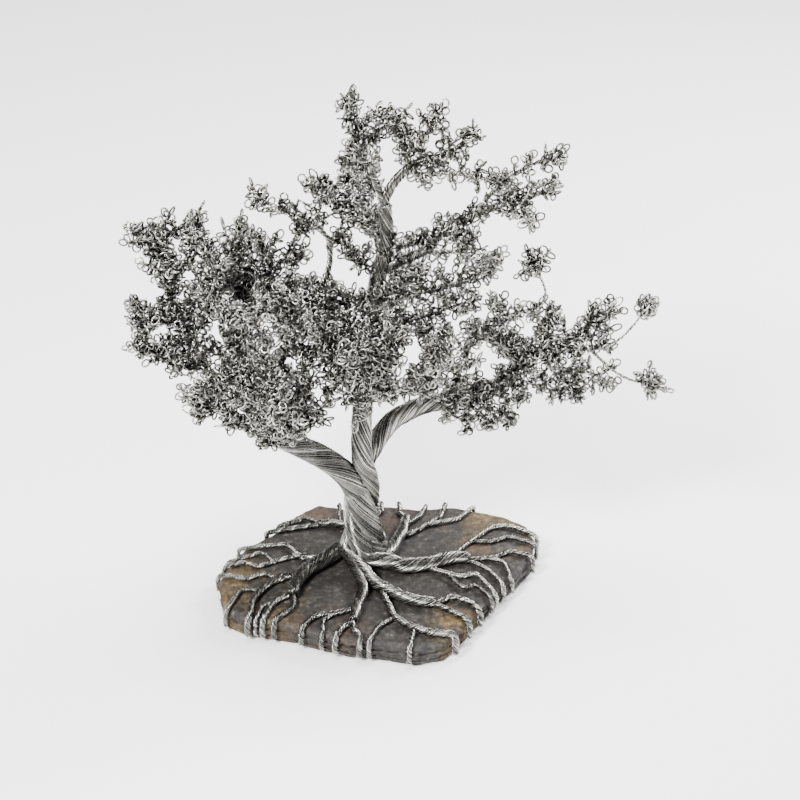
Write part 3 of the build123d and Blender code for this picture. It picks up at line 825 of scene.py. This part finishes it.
def blend_colours(nodes, links, share, first, second):
    node = nodes.new("ShaderNodeMix")
    node.data_type = "RGBA"
    links.new(share, node.inputs["Factor"])
    links.new(first, node.inputs["A"])
    links.new(second, node.inputs["B"])
    return node.outputs["Result"]


def multiply(nodes, links, first, second):
    node = nodes.new("ShaderNodeMix")
    node.data_type = "RGBA"
    node.blend_type = "MULTIPLY"
    node.inputs["Factor"].default_value = 1.0
    links.new(first, node.inputs["A"])
    links.new(second, node.inputs["B"])
    return node.outputs["Result"]


def wire_material():
    """Bright drawn wire, dulled by handling in patches, with painted shade in the grooves and a painted
    brightness for each wire, from shaded to glinting.
    """
    material, nodes, links, shader = new_material("silver_craft_wire")
    place_of = nodes.new("ShaderNodeTexCoord").outputs["Object"]
    patches = noise_node(nodes, links, 140, 5, 0.6, place_of)
    patches_colour = ramp(nodes, links, patches, [
        (0.3, (0.25, 0.245, 0.227)), (0.62, (0.46, 0.452, 0.420)),
    ])
    # Painted shade: ambient occlusion darkens the colour in the grooves between wires and inside dense
    # clusters of loops.
    grooves = nodes.new("ShaderNodeAmbientOcclusion")
    grooves.samples = 6
    grooves.inputs["Distance"].default_value = 0.0025
    shade = ramp(nodes, links, grooves.outputs["AO"], [
        (0.22, (0.03, 0.028, 0.025)), (0.55, (0.38, 0.375, 0.355)), (0.88, (1, 1, 1)),
    ])
    # Painted highlight and shade: each wire's random value darkens it as shade at low values and brightens it
    # past white as a glint at high values.
    own = nodes.new("ShaderNodeAttribute")
    own.attribute_name = "light_catch"
    catch = ramp(nodes, links, own.outputs["Fac"], [
        (0.0, (0.28, 0.28, 0.27)), (0.65, (0.95, 0.95, 0.95)), (1.0, (1.8, 1.8, 1.77)),
    ])
    lit = multiply(nodes, links, multiply(nodes, links, patches_colour, shade), catch)
    links.new(lit, shader.inputs["Base Color"])
    shader.inputs["Metallic"].default_value = 1.0
    dull = nodes.new("ShaderNodeMapRange")
    dull.inputs["To Min"].default_value = 0.18
    dull.inputs["To Max"].default_value = 0.38
    links.new(noise_node(nodes, links, 420, 3, 0.6, place_of), dull.inputs["Value"])
    links.new(dull.outputs["Result"], shader.inputs["Roughness"])
    scratches = nodes.new("ShaderNodeBump")
    scratches.inputs["Strength"].default_value = 0.12
    scratches.inputs["Distance"].default_value = 0.0001
    links.new(noise_node(nodes, links, 2600, 2, 0.5, place_of), scratches.inputs["Height"])
    links.new(scratches.outputs["Normal"], shader.inputs["Normal"])
    return material


def stain(nodes, links, place_of, centre, reach):
    """How strongly a stain shows: full at its centre, gone past its reach, with a ragged edge."""
    gap = nodes.new("ShaderNodeVectorMath")
    gap.operation = "DISTANCE"
    gap.inputs[1].default_value = [c * MM for c in centre]
    links.new(place_of, gap.inputs[0])
    near = nodes.new("ShaderNodeMapRange")
    near.inputs["From Min"].default_value = reach * MM
    near.inputs["From Max"].default_value = 0.35 * reach * MM
    links.new(gap.outputs["Value"], near.inputs["Value"])
    ragged = nodes.new("ShaderNodeMapRange")
    ragged.inputs["From Min"].default_value = 0.42
    ragged.inputs["From Max"].default_value = 0.58
    links.new(noise_node(nodes, links, 60, 6, 0.65, place_of), ragged.inputs["Value"])
    both = nodes.new("ShaderNodeMath")
    both.operation = "MULTIPLY"
    links.new(near.outputs["Result"], both.inputs[0])
    links.new(ragged.outputs["Result"], both.inputs[1])
    return both.outputs["Value"]


def slate_material():
    """Dark grey-brown slate, dusty grain, with ochre and rust stains near its edges."""
    material, nodes, links, shader = new_material("cleft_slate")
    place_of = nodes.new("ShaderNodeTexCoord").outputs["Object"]
    grain = noise_node(nodes, links, 330, 9, 0.78, place_of)
    colour = ramp(nodes, links, grain, [
        (0.36, (0.006, 0.005, 0.004)), (0.50, (0.020, 0.0175, 0.0145)), (0.60, (0.050, 0.045, 0.038)),
        (0.68, (0.21, 0.195, 0.165)),
    ])
    ochre = ramp(nodes, links, grain, [
        (0.35, (0.036, 0.023, 0.008)), (0.52, (0.125, 0.082, 0.030)), (0.72, (0.36, 0.285, 0.16)),
    ])
    rust = ramp(nodes, links, grain, [(0.35, (0.022, 0.013, 0.008)), (0.68, (0.088, 0.052, 0.032))])
    for centre, reach, tint in (
        ((72, 30, 12), 34, ochre), ((-58, -40, 11), 34, ochre), ((16, 44, 12), 26, rust),
        ((58, 22, 12), 20, rust), ((-66, -8, 9), 16, ochre), ((-30, 44, 12), 20, rust),
        ((48, -58, 9), 22, ochre), ((-20, -60, 10), 26, rust),
    ):
        colour = blend_colours(nodes, links, stain(nodes, links, place_of, centre, reach), colour, tint)
    links.new(colour, shader.inputs["Base Color"])
    gloss = nodes.new("ShaderNodeMapRange")
    gloss.inputs["To Min"].default_value = 0.42
    gloss.inputs["To Max"].default_value = 0.85
    links.new(noise_node(nodes, links, 700, 3, 0.6, place_of), gloss.inputs["Value"])
    links.new(gloss.outputs["Result"], shader.inputs["Roughness"])
    relief = nodes.new("ShaderNodeBump")
    relief.inputs["Strength"].default_value = 0.75
    relief.inputs["Distance"].default_value = 0.0008
    links.new(noise_node(nodes, links, 260, 9, 0.72, place_of), relief.inputs["Height"])
    links.new(relief.outputs["Normal"], shader.inputs["Normal"])
    return material


def floor_material():
    """White card, lit a little from within so that it stays paler than its shadows."""
    material, _, _, shader = new_material("pale_floor")
    shader.inputs["Base Color"].default_value = (0.95, 0.95, 0.95, 1)
    shader.inputs["Roughness"].default_value = 0.8
    shader.inputs["Emission Color"].default_value = (1, 1, 1, 1)
    shader.inputs["Emission Strength"].default_value = 0.35
    return material


# Stage ------------------------------------------------------------------------------------------------

def make_floor():
    bpy.ops.mesh.primitive_plane_add(size=8, location=(0, 0, -0.0002))
    floor = bpy.context.object
    floor.name = "floor"
    floor.data.materials.append(floor_material())


def make_world():
    world = bpy.data.worlds.new("studio")
    world.use_nodes = True
    background = world.node_tree.nodes["Background"]
    background.inputs["Color"].default_value = (1, 1, 1, 1)
    background.inputs["Strength"].default_value = 0.2
    bpy.context.scene.world = world


def make_light(name, location, target, size, power):
    data = bpy.data.lights.new(name, "AREA")
    data.shape = "DISK"
    data.size = size
    data.energy = power
    light = bpy.data.objects.new(name, data)
    light.location = location
    light.rotation_euler = (Vector(target) - Vector(location)).to_track_quat("-Z", "Y").to_euler()
    bpy.context.scene.collection.objects.link(light)


def make_camera():
    aim = Vector((0.0184, 0.0, 0.1084))
    elevation = math.radians(30)
    distance = 0.9
    data = bpy.data.cameras.new("camera")
    data.lens = 81
    data.sensor_width = 36
    camera = bpy.data.objects.new("camera", data)
    camera.location = aim + distance * Vector((0, -math.cos(elevation), math.sin(elevation)))
    camera.rotation_euler = (aim - camera.location).to_track_quat("-Z", "Y").to_euler()
    bpy.context.scene.collection.objects.link(camera)
    bpy.context.scene.camera = camera


make_camera()
wire = wire_material()
make_limbs(wire)
make_branches(wire)
make_roots(wire)
make_rootlets(wire)
make_leaves(wire)
make_slate(slate_material())
make_floor()
make_world()
middle = (0.01, 0.0, 0.12)
make_light("top", (0.0, 0.3, 2.2), middle, 1.2, 100)
make_light("key", (-0.6, -0.8, 1.0), middle, 0.3, 42)
make_light("rim", (0.8, 0.5, 0.8), middle, 0.35, 20)
